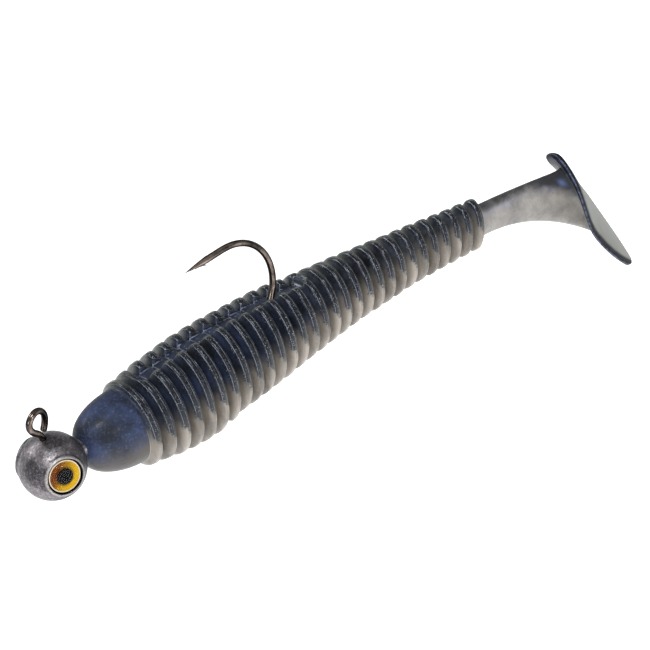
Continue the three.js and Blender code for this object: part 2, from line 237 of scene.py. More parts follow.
def lathe(name, profile, sides, centre, direction):
    """A turned solid about an axis: profile rows are (distance from axis, along the axis), in mm."""
    direction = Vector(direction).normalized()
    turn_to = Vector((0, 0, 1)).rotation_difference(direction).to_matrix()
    points = []
    for radius, along in profile:
        for side in range(sides):
            angle = 2 * math.pi * side / sides
            spot = Vector((radius * math.cos(angle), radius * math.sin(angle), along))
            points.append((Vector(centre) + turn_to @ spot) * MM)
    faces = loft_faces(len(profile), sides, True, True)
    return new_object(name, points, faces, crease=35)


# ---------------------------------------------------------------- soft skins
CREST_HALF = 0.2
LIP_LAP = 0.42
LIP_RISE = 0.06
RING_HALF = 1.14
SLOT_START_X = 18.2
SLOT_END_X = 54.6
SLOT_START_EASE = 1.5
SLOT_END_EASE = 2.0
SLOT_HALF_WIDTH = 1.0
SLOT_WOBBLE = 0.12
SLOT_ROUNDING = 2.4
SLOT_DEPTH = 1.85
NOTCH_RING = 7              # the first rings hang lower, and step up at this one
NOTCH_DEPTH = 1.5
BELLY_SAG = 0.7
BELLY_SAG_RING = 4.6
BELLY_SAG_SPREAD = 2.3
RING_WOBBLE = 0.05
SIDE_WOBBLE = 0.035
FINE_WOBBLE = 0.02


def ring_shape(x):
    """Height from 0 in the groove to 1 on the crest, mm behind the ring's middle, and the ring."""
    place = (x - FIRST_RING_X) / RING_PITCH
    ring = np.clip(np.round(place), 0, RING_COUNT - 1)
    lap = x - FIRST_RING_X - ring * RING_PITCH
    down = np.clip((np.abs(lap) - CREST_HALF) / (RING_HALF - CREST_HALF), 0, 1)
    bead = (1 - down ** 1.85) ** 0.85
    lip = LIP_RISE * np.exp(-((lap - LIP_LAP) / 0.08) ** 2)
    return bead + lip, lap, ring


def nose_share(x, power=NOSE_POWER):
    """Radius of the bullet nose as a share of the first ring's, in front of the first groove."""
    length = NOSE_END_X - NOSE_TIP_X
    full = NOSE_RADIUS / STATION_HALF_HEIGHT[0]
    part = np.clip((x - NOSE_TIP_X) / length, 0, 1) ** (1 / NOSE_ROUNDING)
    angle = np.arccos(np.clip(1 - part, -1, 1))
    return full * np.sin(np.minimum(angle, np.pi / 2)) ** power


def body_rows(xs):
    """Skin points and shading values for sections at each x."""
    angles = around(SIDES)
    under = np.maximum(-np.sin(angles), 0)
    notch_x = FIRST_RING_X + (NOTCH_RING - 1) * RING_PITCH
    points, lap_values, seam_values = [], [], []
    for x in xs:
        shape, lap, ring = ring_shape(x)
        high = half_height(x)
        wide = half_width(x)
        wobble = RING_WOBBLE * math.sin(ring * 12.9) + SIDE_WOBBLE * np.sin(3 * angles + ring * 5.1)
        wobble = wobble + FINE_WOBBLE * np.sin(11 * angles + ring * 2.3)
        if ring < NOTCH_RING:
            sag = BELLY_SAG * math.exp(-((ring - BELLY_SAG_RING) / BELLY_SAG_SPREAD) ** 2)
            wobble = wobble + sag * under ** 1.2
        groove = 1 - GROOVE_DEPTH / high
        if x < FIRST_RING_X - RING_HALF:
            power = NOSE_POWER + (NOSE_UNDER_POWER - NOSE_POWER) * under
            share = nose_share(x, power) * (1 - NOSE_FLATNESS * under)
            lap = NOSE_LAP
        elif x < FIRST_RING_X:
            front = nose_share(x) * (1 - NOSE_FLATNESS * under)
            share = np.maximum(front, groove + (1 - groove) * shape) + 0 * angles
        else:
            share = groove + (1 - groove) * shape + shape * wobble / high
        y = wide * share * np.cos(angles)
        z = high * share * np.sin(angles)
        in_slot = smooth(SLOT_START_X, SLOT_START_X + SLOT_START_EASE, x)
        in_slot = in_slot * smooth(SLOT_END_X, SLOT_END_X - SLOT_END_EASE, x)
        half_slot = SLOT_HALF_WIDTH + SLOT_WOBBLE * math.sin(ring * 7.7)
        climb = np.clip((np.abs(y) - half_slot) / SLOT_ROUNDING, 0, 1)
        sunk = (1 - np.sqrt(1 - (1 - climb) ** 2)) * in_slot
        floor = high - SLOT_DEPTH
        z = np.where((z > floor) & (np.sin(angles) > 0), z + (floor - z) * sunk, z)
        edge = smooth(half_slot + 0.35, half_slot - 0.1, np.abs(y)) * in_slot
        if abs(x - notch_x) < RING_PITCH * 0.5:
            z = np.maximum(z, -(high - NOTCH_DEPTH))
        points.append(to_body(x + 0 * angles, y, z))
        inside = np.where(np.sin(angles) > 0, edge, 0)
        lap_values.append(lap + (IN_SLOT_LAP - lap) * inside)
        seam_values.append(z - seam_height(x))
    return points, lap_values, seam_values


def groove_x(ring):
    """The groove behind a ring, counted from 1."""
    return FIRST_RING_X + (ring - 0.5) * RING_PITCH


RING_STEPS = (0, 0.12, 0.24, 0.33, 0.4, 0.47, 0.54, 0.64, 0.76, 0.9, 1.03, 1.1, RING_HALF)


def section_list(start, end):
    """Sections between two places, closest together where a ring's crest turns."""
    xs = {round(start, 5), round(end, 5)}
    for ring in range(RING_COUNT):
        middle = FIRST_RING_X + ring * RING_PITCH
        for step in RING_STEPS:
            xs.update((round(middle + step, 5), round(middle - step, 5)))
        xs.add(round(middle + RING_PITCH / 2, 5))
    return sorted(x for x in xs if start - 1e-6 <= x <= end + 1e-6)


# ---- the tail: drawn flat, then swept and laid along the drooping body
TAIL_SWEEP = -0.004
PADDLE_TOP = np.array([16.3, 6.0])
PADDLE_TIP = np.array([30.8, -17.7])
PADDLE_HALF_WIDTH = 7.3
PADDLE_EGG = 0.4
PADDLE_HALF_THICKNESS = 0.58
RIM_BAND = 1.35
PADDLE_CUP = -0.025
PADDLE_YAW_TOP = math.radians(12)
PADDLE_YAW_TIP = math.radians(25)
PADDLE_TWIST_SHARE = 0.5
STEM_START = -1.9
STEM_TOP_FRONT = 3.0
STEM_LOW_FRONT = -2.6
WEB_TOP_SHARE = 0.1
WEB_LOW_SHARE = 0.79
WEB_BEND_SHARE = 0.46
WEB_BEND_RISE = 1.2
STEM_CUT = 0.3              # where the sixth skin ends and the tail begins, along the stem
STEM_HALF_FRONT = 1.35
STEM_HALF_REAR = 0.8
STEM_FLARE = 1.5
STEM_FLARE_START = 0.84
STEM_SEAM_RISE = 0.2
BLADE_SIDES = 96
BLADE_ROWS = 64


def to_tail(x, y, z):
    """Tail space to row-frame metres."""
    reach = np.maximum(x, 0)
    along = x - 2 * TAIL_SWEEP * reach * y
    across = TAIL_SWEEP * reach ** 2 + y
    slope = centre_slope(BODY_END_X)
    length = math.hypot(1, slope)
    origin = to_body(np.array(KNEE_X), np.array(0.0), np.array(0.0)) / MM
    return np.stack([
        origin[0] + (along - slope * z) / length,
        across,
        origin[2] + (slope * along + z) / length,
    ], -1) * MM


def stem_edges(share):
    top_end = PADDLE_TOP + (PADDLE_TIP - PADDLE_TOP) * WEB_TOP_SHARE
    low_end = PADDLE_TOP + (PADDLE_TIP - PADDLE_TOP) * WEB_LOW_SHARE
    top_front = np.array([STEM_START, STEM_TOP_FRONT])
    low_front = np.array([STEM_START, STEM_LOW_FRONT])
    low_bend = np.array([low_end[0] * WEB_BEND_SHARE, STEM_LOW_FRONT + WEB_BEND_RISE])
    top = top_front + (top_end - top_front) * share
    low = (1 - share) ** 2 * low_front + 2 * share * (1 - share) * low_bend + share ** 2 * low_end
    return top, low


def blade_yaw(share):
    return PADDLE_YAW_TOP + (PADDLE_YAW_TIP - PADDLE_YAW_TOP) * smooth(0, PADDLE_TWIST_SHARE, share)


def stem_rows(shares):
    angles = around(SIDES)
    chord = PADDLE_TIP - PADDLE_TOP
    along = chord / np.hypot(*chord)
    rear = np.array([-along[1], along[0]])
    points, lap_values, seam_values = [], [], []
    for share in shares:
        top, low = stem_edges(share)
        flare = max(0.0, (share - STEM_FLARE_START) / (1 - STEM_FLARE_START)) ** 2.2
        half = STEM_HALF_FRONT + (STEM_HALF_REAR - STEM_HALF_FRONT) * min(share / 0.8, 1)
        half = half + STEM_FLARE * flare
        up_share = squarer(np.sin(angles), 0.8)
        spot = (top + low)[:, None] / 2 + (top - low)[:, None] / 2 * up_share * (1 + 0.04 * flare)
        y = half * squarer(np.cos(angles), 0.7)
        yaw = blade_yaw((along @ (spot - PADDLE_TOP[:, None])) / np.hypot(*chord))
        out = y * np.tan(yaw) + PADDLE_CUP * (y / np.cos(yaw)) ** 2
        spot = spot + rear[:, None] * out * smooth(0.7, 1.0, share)
        points.append(to_tail(spot[0], y, spot[1]))
        lap_values.append(TAIL_LAP - TAIL_LAP_SPREAD * up_share)
        seam_line = top[1] * 0.45 + low[1] * 0.05 + STEM_SEAM_RISE
        seam_values.append(spot[1] - seam_line)
    return points, lap_values, seam_values


def paddle_width(share):
    inside = np.clip(share, 0, 1)
    oval = np.maximum(1 - np.abs(2 * inside - 1) ** 2.3, 0) ** 0.62
    return PADDLE_HALF_WIDTH * oval * (1 + PADDLE_EGG * (1 - 2 * inside))


def paddle_rows():
    angles = around(BLADE_SIDES)
    chord = PADDLE_TIP - PADDLE_TOP
    length = np.hypot(*chord)
    along = chord / length
    rear = np.array([-along[1], along[0]])
    points, rims, drops = [], [], []
    for step in range(BLADE_ROWS):
        share = 0.5 - 0.5 * math.cos(math.pi * step / (BLADE_ROWS - 1))
        wide = max(float(paddle_width(share)), 0.02)
        thick = PADDLE_HALF_THICKNESS * min(1, (wide / 1.2)) ** 0.6
        y = wide * squarer(np.cos(angles), 0.55)
        n = thick * squarer(np.sin(angles), 0.75) + PADDLE_CUP * y ** 2
        yaw = float(blade_yaw(share))
        across = y * math.cos(yaw) - n * math.sin(yaw)
        out = y * math.sin(yaw) + n * math.cos(yaw)
        x = PADDLE_TOP[0] + along[0] * length * share + rear[0] * out
        z = PADDLE_TOP[1] + along[1] * length * share + rear[1] * out
        points.append(to_tail(x, across, z))
        middle_line = 0.5 * np.exp(-(np.sin(angles) / 0.3) ** 2) * (np.abs(np.cos(angles)) > 0.7)
        rims.append(smooth(wide - RIM_BAND, wide - RIM_BAND * 0.45, np.abs(y)) + middle_line)
        drops.append(share + 0 * y)
    return points, rims, drops


def join_rows(*groups):
    return tuple(sum(lists, []) for lists in zip(*groups))


def object_from_rows(name, rows, value_names, cap_start=False, cap_end=False):
    """A lofted object; the lists after the points are shading values."""
    points, *values = rows
    faces = loft_faces(len(points), len(points[0]), cap_start, cap_end)
    thing = new_object(name, np.concatenate(points), faces)
    for value_name, value_rows in zip(value_names, values):
        add_values(thing, value_name, np.concatenate(value_rows))
    flip_if_inside_out(thing)
    return thing


JOINT_AT = {joint["name"]: Vector(joint["pos_m"]) for joint in frame["joints"]}
BODY_CHAIN = ["rigged_fore_body", "flex_1", "flex_2", "flex_3", "flex_4", "flex_5", "stem", "paddle"]

SKIN_VALUES = ("lap", "seam")
BEND_BLEND = 0.9            # mm of skin that bends on each side of a body joint
KICK_BLEND_FRONT = 1.6
KICK_BLEND_REAR = 2.2
RIGID_RINGS = 15            # rings in front of the first bend
RINGS_PER_STRETCH = 3
NOSE_STEPS = 34
LAST_RING_REAR = 0.75       # mm behind the last ring's middle, where its rear face begins
SHOULDER_STEPS = 6
SHOULDER_LAP = 1.3


def nose_sections():
    turns = np.linspace(0, 1, NOSE_STEPS)
    length = NOSE_END_X - NOSE_TIP_X
    xs = NOSE_TIP_X + length * (1 - np.cos(turns * np.pi / 2)) ** NOSE_ROUNDING
    return [x for x in xs if x < FIRST_RING_X - RING_HALF]


def shoulder_rows(rear_x):
    """The last ring's rear face, rounding down onto the front of the stem."""
    last = body_rows([rear_x])
    first = stem_rows([0.0])
    points, laps, seams = [], [], []
    for step in range(1, SHOULDER_STEPS):
        share = step / SHOULDER_STEPS
        bulge = math.sin(share * math.pi / 2)
        mix = 1 - math.cos(share * math.pi / 2)
        ahead = (first[0][0] - last[0][0]).mean(0)
        points.append(last[0][0] * (1 - mix) + first[0][0] * mix + ahead * (bulge - mix) * 0.8)
        laps.append(last[1][0] * (1 - share) + SHOULDER_LAP * share)
        seams.append(last[2][0] * (1 - share) + first[2][0] * share)
    return points, laps, seams


# Each skin with its two bodies, the joint between them and how far it bends on each side of it.
skins = []
xs = nose_sections() + section_list(FIRST_RING_X - RING_HALF, groove_x(RIGID_RINGS))
for index in range(5):
    if index:
        end_ring = RIGID_RINGS + RINGS_PER_STRETCH * index
        xs = section_list(groove_x(end_ring - RINGS_PER_STRETCH), groove_x(end_ring))
    skin = object_from_rows(f"soft_skin_{index + 1}", body_rows(xs), SKIN_VALUES, cap_start=index == 0)
    joint_at = JOINT_AT[f"body_bend_{index + 1}"]
    skins.append((skin, BODY_CHAIN[index], BODY_CHAIN[index + 1], joint_at, BEND_BLEND, BEND_BLEND))

rear_xs = section_list(groove_x(RIGID_RINGS + 4 * RINGS_PER_STRETCH), LAST_RING_X + LAST_RING_REAR)
front_stem = stem_rows(np.linspace(0, STEM_CUT, 22))
wrist_rows = join_rows(body_rows(rear_xs), shoulder_rows(rear_xs[-1]), front_stem)
wrist = object_from_rows("soft_skin_6", wrist_rows, SKIN_VALUES)
skins.append((wrist, "flex_5", "stem", JOINT_AT["tail_kick"], KICK_BLEND_FRONT, KICK_BLEND_REAR))

REAR_SHARES = list(np.linspace(STEM_CUT, 0.86, 26)) + list(np.linspace(0.87, 1.0, 14))
tail = object_from_rows("soft_tail", stem_rows(REAR_SHARES), SKIN_VALUES)
add_values(tail, "root", np.repeat(REAR_SHARES, SIDES))
blade = object_from_rows("paddle_blade", paddle_rows(), ("rim", "drop"), True, True)


# ---------------------------------------------------------------- material helpers
class Nodes:
    """Short calls for building a node tree."""

    def __init__(self, name):
        self.material = bpy.data.materials.new(name)
        self.material.use_nodes = True
        self.tree = self.material.node_tree
        self.tree.nodes.clear()
        self.output = self.add("ShaderNodeOutputMaterial")
        self.shader = self.add("ShaderNodeBsdfPrincipled")
        self.link(self.shader.outputs[0], self.output.inputs["Surface"])

    def add(self, kind, **settings):
        node = self.tree.nodes.new(kind)
        for key, value in settings.items():
            setattr(node, key, value)
        return node

    def link(self, source, target):
        self.tree.links.new(source, target)

    def put(self, target, value):
        if isinstance(value, bpy.types.NodeSocket):
            self.link(value, target)
        else:
            target.default_value = value

    def place(self, scale=(1, 1, 1)):
        coordinates = self.add("ShaderNodeTexCoord")
        mapping = self.add("ShaderNodeMapping")
        mapping.inputs["Scale"].default_value = scale
        self.link(coordinates.outputs["Object"], mapping.inputs["Vector"])
        return mapping.outputs[0]

    def noise(self, scale, detail=3.0, roughness=0.5, stretch=(1, 1, 1), distortion=0.0):
        node = self.add("ShaderNodeTexNoise")
        self.link(self.place(stretch), node.inputs["Vector"])
        node.inputs["Scale"].default_value = scale
        node.inputs["Detail"].default_value = detail
        node.inputs["Roughness"].default_value = roughness
        node.inputs["Distortion"].default_value = distortion
        return node.outputs["Fac"]

    def cells(self, scale):
        node = self.add("ShaderNodeTexVoronoi", feature="F1")
        self.link(self.place(), node.inputs["Vector"])
        node.inputs["Scale"].default_value = scale
        return node.outputs["Distance"]

    def paint(self, under, over, *shares):
        """A colour laid over another, as far as all the shares together let it."""
        share = shares[0]
        for more in shares[1:]:
            share = self.times(share, more)
        return self.mix(share, under, over)

    def value(self, name):
        return self.add("ShaderNodeAttribute", attribute_name=name).outputs["Fac"]

    def math(self, operation, first, second=0.0, third=0.0):
        node = self.add("ShaderNodeMath", operation=operation)
        for socket, value in zip(node.inputs, (first, second, third)):
            self.put(socket, value)
        return node.outputs[0]

    def times(self, first, second):
        return self.math("MULTIPLY", first, second)

    def plus(self, first, second):
        return self.math("ADD", first, second)

    def larger(self, first, second):
        return self.math("MAXIMUM", first, second)

    def near(self, value, middle, reach):
        """1 within reach of the middle, 0 outside."""
        return self.math("COMPARE", value, middle, reach)

    def distance(self, value, middle):
        return self.math("ABSOLUTE", self.math("SUBTRACT", value, middle))

    def facing(self, blend=0.5):
        """0 where the surface faces the eye, 1 at its outline."""
        node = self.add("ShaderNodeLayerWeight")
        node.inputs["Blend"].default_value = blend
        return node.outputs["Facing"]

    def ragged(self, value, texture, reach):
        return self.plus(value, self.span(texture, 0.2, 0.8, -reach, reach))

    def span(self, value, low, high, to_low=0.0, to_high=1.0):
        """A smooth step from one value to another."""
        node = self.add("ShaderNodeMapRange", interpolation_type="SMOOTHSTEP")
        self.put(node.inputs["Value"], value)
        self.put(node.inputs["From Min"], low)
        self.put(node.inputs["From Max"], high)
        node.inputs["To Min"].default_value = to_low
        node.inputs["To Max"].default_value = to_high
        return node.outputs["Result"]

    def mix(self, share, first, second):
        """A colour between two colours."""
        node = self.add("ShaderNodeMix", data_type="RGBA")
        self.put(node.inputs[0], share)
        self.put(node.inputs[6], first)
        self.put(node.inputs[7], second)
        return node.outputs[2]

    def blend(self, share, first, second):
        """A number between two numbers."""
        node = self.add("ShaderNodeMix", data_type="FLOAT")
        self.put(node.inputs[0], share)
        self.put(node.inputs[2], first)
        self.put(node.inputs[3], second)
        return node.outputs[0]

    def bump(self, height, strength, distance):
        node = self.add("ShaderNodeBump")
        node.inputs["Strength"].default_value = strength
        node.inputs["Distance"].default_value = distance
        self.link(height, node.inputs["Height"])
        self.link(node.outputs[0], self.shader.inputs["Normal"])

    def set(self, **values):
        for key, value in values.items():
            self.put(self.shader.inputs[key.replace("_", " ")], value)


def colour(red, green, blue):
    """sRGB 0-255 to a linear colour."""
    def linear(channel):
        channel = channel / 255
        return channel / 12.92 if channel <= 0.04045 else ((channel + 0.055) / 1.055) ** 2.4
    return (linear(red), linear(green), linear(blue), 1.0)


def soft_plastic():
    """Blue-black pearl over translucent taupe; on each ring the dark runs lower, and specks float in it."""
    n = Nodes("soft_plastic_two_pour")
    lap = n.value("lap")
    seam = n.value("seam")
    root = n.value("root")
    facing = n.facing(0.35)
    fine = n.noise(2600, 4, 0.65)
    grit = n.noise(5200, 3, 0.7)
    specks = n.span(n.cells(2500), 0.26, 0.1)
    flakes = n.span(n.cells(1350), 0.2, 0.06)
    broken = n.noise(760, 3, 0.55)
    clumps = n.span(n.noise(420, 2, 0.5), 0.44, 0.58)
    wander = n.span(n.noise(420, 4, 0.6), 0.2, 0.8, -0.7, 0.7)
    split = n.add("ShaderNodeSeparateXYZ")
    n.link(n.place(), split.inputs[0])
    rearward = n.span(split.outputs["X"], 0.036, 0.068)

    # where the skin is: on a ring's crest band, in a groove, on the plain nose or on the tail
    rag = n.span(fine, 0.25, 0.75, -0.05, 0.05)
    place = n.plus(lap, rag)
    steady = n.plus(lap, n.times(rag, 0.35))
    band = n.times(n.span(place, -0.86, -0.62), n.span(place, 0.86, 0.72))
    plain = n.span(lap, -2.2, -2.5)
    tail_part = n.span(lap, -3.0, -3.3)
    not_tail = n.blend(tail_part, 1.0, 0.0)
    # painted shade in the grooves in front of and behind each ring
    front_groove_shade = n.times(n.span(lap, -1.0, -1.2), n.span(lap, -1.5, -1.36))
    groove_shade = n.larger(n.span(lap, 0.95, 1.2), front_groove_shade)

    # how far down the dark pour reaches
    height = n.plus(seam, wander)
    tongue = n.plus(n.plus(height, n.times(rag, 11.0)), n.times(lap, 1.3))
    back_flank = n.span(height, n.blend(plain, -0.4, -1.0), n.blend(plain, 4.0, 3.8))
    tail_height = n.plus(height, n.times(n.span(root, 0.55, 1.0), 3.0))
    back_flank = n.blend(tail_part, back_flank, n.span(tail_height, -1.4, 2.4, 0.0, 0.92))
    back = n.blend(n.times(band, 0.9), back_flank, n.span(tongue, -0.5, 0.5))

    # the dark pour between the rings
    pearl = n.span(n.noise(260, 5, 0.65), 0.32, 0.75)
    flank = n.mix(pearl, colour(16, 19, 26), colour(46, 56, 82))
    flank = n.paint(flank, colour(92, 104, 134), n.span(fine, 0.55, 0.8), 0.35)
    grey_flank = n.mix(pearl, colour(24, 26, 29), colour(66, 70, 76))
    flank = n.paint(flank, grey_flank, rearward, 0.8)

    # the dark pour on the rings: black with grit and specks, and fine painted highlights along the crest
    ridge = n.mix(n.span(fine, 0.35, 0.7), colour(5, 6, 8), colour(34, 36, 40))
    patches = n.span(broken, 0.38, 0.62, 0.05, 0.5)
    ridge = n.paint(ridge, colour(104, 106, 110), n.span(grit, 0.58, 0.68), patches)
    ridge = n.paint(ridge, colour(160, 160, 162), specks, clumps, 0.7)
    # painted highlight: thin light bands along each crest
    crest_highlights = n.larger(n.near(steady, 0.2, 0.03), n.near(steady, 0.5, 0.04))
    crest_highlights = n.larger(crest_highlights, n.near(steady, -0.52, 0.03))
    ridge = n.paint(ridge, colour(128, 134, 150), crest_highlights, n.span(broken, 0.34, 0.56, 0.15, 0.8))
    dark = n.mix(band, flank, ridge)
    # painted shade darkens the dark pour in the grooves
    dark = n.paint(dark, colour(7, 8, 12), groove_shade, 0.75)
    slot_edge = n.near(place, -1.5, 0.07)
    dark = n.paint(dark, colour(120, 126, 144), slot_edge, n.span(broken, 0.42, 0.6))

    # painted backlight: turned away from the eye, the rings take a lighter smoky colour, as if the pale light
    # behind them shone through
    thin = n.times(n.span(facing, 0.12, 0.55), n.span(lap, -1.2, -0.9))
    grains = n.larger(flakes, n.span(grit, 0.55, 0.68))
    smoky = n.mix(grains, colour(98, 101, 93), colour(20, 21, 24))
    dark = n.paint(dark, smoky, thin, n.blend(rearward, 0.72, 0.85))
    # painted shade: the dark pour darkens toward its outline
    dark = n.paint(dark, colour(30, 32, 34), n.span(facing, 0.86, 0.98), 0.6)

    # the plain nose: cloudy blue pearl
    cloud = n.plus(n.times(n.noise(190, 4, 0.6), 0.8), n.times(fine, 0.2))
    nose = n.mix(n.span(cloud, 0.32, 0.7), colour(9, 10, 14), colour(56, 70, 108))
    nose = n.paint(nose, colour(20, 22, 28), n.span(grit, 0.52, 0.66), 0.45)
    nose = n.paint(nose, colour(96, 108, 136), n.span(fine, 0.54, 0.72), 0.4)
    dark = n.paint(dark, nose, plain, n.blend(tail_part, 0.85, 0.0))

    # the pale pour
    veil = n.noise(300, 4, 0.55, (1.0, 1.0, 0.25))
    pale = n.mix(n.span(veil, 0.34, 0.68), colour(100, 94, 85), colour(158, 151, 141))
    pale = n.paint(pale, colour(178, 174, 170), n.span(fine, 0.54, 0.72), 0.4)
    # painted shade on the front face of each ring
    front_face_shade = n.times(n.span(lap, -0.15, -0.8), n.span(lap, -1.5, -1.2))
    pale = n.paint(pale, colour(92, 84, 75), front_face_shade, 0.45)
    # painted highlight just behind each crest
    painted_lip_highlight = n.times(n.span(place, 0.3, 0.45), n.span(place, 0.8, 0.65))
    pale = n.paint(pale, colour(200, 194, 186), painted_lip_highlight, 0.6)
    # painted shade darkens the pale pour in the grooves
    pale = n.paint(pale, colour(86, 80, 72), groove_shade, 0.55)
    # painted backlight: the pale pour turns lighter toward its outline
    pale = n.paint(pale, colour(186, 182, 175), n.span(facing, 0.5, 0.95), 0.75)
    pale = n.paint(pale, colour(50, 41, 33), plain, 0.85)

    # the tail: dark along its top edge, lilac above, pale below; painted shade by the paddle, painted
    # highlights
    # painted shade where the web rounds into the paddle
    fillet_shade = n.span(n.ragged(root, broken, 0.03), 0.84, 0.99)
    web = n.mix(n.span(n.noise(230, 5, 0.6), 0.3, 0.7), colour(128, 125, 122), colour(168, 164, 159))
    web = n.paint(web, colour(84, 84, 88), n.span(fine, 0.56, 0.7), 0.4)
    web = n.paint(web, colour(62, 62, 66), fillet_shade, 0.55)
    pale = n.paint(pale, web, tail_part, 0.95)
    lilac = n.mix(pearl, colour(40, 42, 52), colour(112, 117, 142))
    lilac = n.paint(lilac, colour(10, 11, 15), n.span(lap, -4.52, -4.6), 0.95)
    lilac = n.paint(lilac, colour(22, 25, 38), fillet_shade, 0.6)
    # painted shade on the web alongside the paddle
    beside_paddle_shade = n.span(n.ragged(root, broken, 0.05), 0.66, 0.94)
    lilac = n.paint(lilac, colour(18, 20, 30), beside_paddle_shade, 0.75)
    # painted highlight: a light streak along the stem's upper side near the body
    highlight_streak = n.span(n.distance(lap, -4.42), 0.12, 0.03)
    lilac = n.paint(lilac, colour(150, 155, 186), highlight_streak, n.span(root, 0.34, 0.1), 0.7)
    # painted glint: a small light-blue highlight near the paddle's top corner
    glint = n.times(n.span(n.distance(root, 0.88), 0.06, 0.0), n.span(n.distance(lap, -4.56), 0.09, 0.0))
    lilac = n.paint(lilac, colour(108, 132, 186), glint, 0.7)
    dark = n.paint(dark, lilac, tail_part, 0.8)

    body = n.mix(back, pale, dark)
    # painted shade: the plain nose darkens toward its outline
    nose_outline_shade = n.times(n.span(facing, 0.25, 0.75), 0.75)
    body = n.paint(body, colour(14, 13, 13), nose_outline_shade, n.times(plain, not_tail))
    rough = n.blend(back, 0.36, n.blend(plain, n.blend(band, 0.36, 0.22), 0.55))
    n.set(Base_Color=body, Roughness=rough)
    n.set(IOR=1.4, Specular_Tint=(0.75, 0.84, 1.0, 1.0), Coat_Weight=0.05, Coat_Roughness=0.15)
    n.set(Subsurface_Weight=n.blend(back, 0.6, 0.12))
    n.set(Subsurface_Scale=0.0013, Subsurface_Radius=(1.0, 0.9, 0.8))
    grain = n.plus(n.times(fine, 0.7), n.noise(700, 3, 0.5))
    grain = n.plus(grain, n.times(n.times(specks, band), 0.7))
    n.bump(grain, 0.45, 0.0001)
    return n.material


def paddle_plastic():
    """Thin pale plastic, greyer in its top lobe, with a dark rim and a light line along its edge."""
    n = Nodes("soft_plastic_paddle")
    rim = n.value("rim")
    drop = n.value("drop")
    veil = n.noise(240, 4, 0.55)
    pale = n.mix(n.span(veil, 0.3, 0.75), colour(108, 108, 104), colour(142, 142, 137))
    # painted backlight: the blade turns lighter toward its outline
    pale = n.mix(n.span(n.facing(), 0.4, 0.9), pale, colour(150, 152, 148))
    lobe = n.span(n.ragged(drop, n.noise(200, 4, 0.6), 0.08), 0.36, 0.06)
    face = n.paint(pale, colour(48, 52, 60), lobe, 0.95)
    fine = n.noise(1600, 4, 0.65)
    edge = n.mix(n.span(fine, 0.35, 0.7), colour(10, 11, 16), colour(38, 42, 56))
    edge_line = n.span(fine, 0.35, 0.6, 0.2, 0.9)
    edge = n.paint(edge, colour(96, 102, 124), n.span(rim, 1.3, 1.46), edge_line)
    n.set(Base_Color=n.paint(face, edge, n.math("MINIMUM", rim, 1.0), 0.92), Roughness=0.42)
    n.set(IOR=1.3, Specular_IOR_Level=0.02)
    n.set(Subsurface_Weight=0.45, Subsurface_Scale=0.0011, Subsurface_Radius=(1.0, 0.92, 0.82))
    n.bump(n.noise(700, 3, 0.5), 0.2, 0.0001)
    return n.material


def lead_metal():
    """Burnished casting: streaky bright rubs over dark lead, wear on the eye-rim crests, painted shade toward
    its outline and in the gap round each iris.
    """
    n = Nodes("burnished_lead")
    blotch = n.noise(300, 5, 0.65)
    fine = n.noise(3600, 5, 0.75)
    rubs = n.noise(2600, 5, 0.7, (0.35, 1.0, 1.0), 0.4)
    wear_and_gap_shade = n.value("wear_and_gap_shade")
    pits = n.span(n.cells(1900), 0.3, 0.1)
    tone = n.mix(n.span(blotch, 0.35, 0.66), colour(56, 56, 61), colour(124, 120, 124))
    rubbed = n.span(blotch, 0.4, 0.6, 0.25, 0.85)
    tone = n.paint(tone, colour(188, 181, 183), n.span(rubs, 0.5, 0.68), rubbed)
    tone = n.paint(tone, colour(160, 154, 156), n.span(fine, 0.46, 0.66), 0.4)
    tone = n.paint(tone, colour(22, 22, 25), pits, 0.55)
    # painted shade: darker toward the outline
    tone = n.paint(tone, colour(40, 40, 45), n.span(n.facing(), 0.35, 0.95), 0.55)
    bright = n.span(fine, 0.3, 0.6, 0.15, 0.75)
    tone = n.paint(tone, colour(190, 185, 183), n.larger(wear_and_gap_shade, 0.0), bright)
    # painted shade in the gap round each iris
    tone = n.mix(n.span(wear_and_gap_shade, 0.0, -0.6), tone, colour(12, 12, 13))
    n.set(Base_Color=tone, Metallic=0.95, Roughness=n.span(rubs, 0.3, 0.7, 0.46, 0.32))
    grain = n.math("SUBTRACT", n.plus(fine, rubs), n.times(pits, 0.5))
    n.bump(grain, 0.6, 0.00007)
    return n.material


def nickel_wire():
    """Black nickel plate with broken lighter streaks; painted shade darkens the wire toward its outline."""
    n = Nodes("black_nickel_wire")
    streak = n.noise(900, 4, 0.6, (0.3, 1.0, 0.3))
    tone = n.mix(n.span(streak, 0.35, 0.7), colour(74, 64, 59), colour(172, 156, 146))
    # painted shade: the wire darkens toward its outline
    outline = n.plus(n.facing(), n.span(streak, 0.2, 0.8, 0.08, -0.08))
    tone = n.mix(n.span(outline, 0.12, 0.5), tone, colour(20, 17, 16))
    n.set(Base_Color=tone, Metallic=1.0, Roughness=n.span(streak, 0.3, 0.7, 0.12, 0.22))
    n.bump(streak, 0.12, 0.00003)
    return n.material


SOFT = soft_plastic()
PADDLE = paddle_plastic()
LEAD = lead_metal()
NICKEL = nickel_wire()

tail.data.materials.append(SOFT)
blade.data.materials.append(PADDLE)
join(tail, blade)           # the web and the blade are one moulding

for number, (skin, first, second, at, before, after) in enumerate(skins):
    skin.data.materials.append(SOFT)
    if number == 0:
        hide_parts("fore_back", "fore_belly")
    else:
        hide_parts(f"flex_{number}_back", f"flex_{number}_belly")
    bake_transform(skin)

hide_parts("stem_back", "stem_belly", "paddle")
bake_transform(tail)

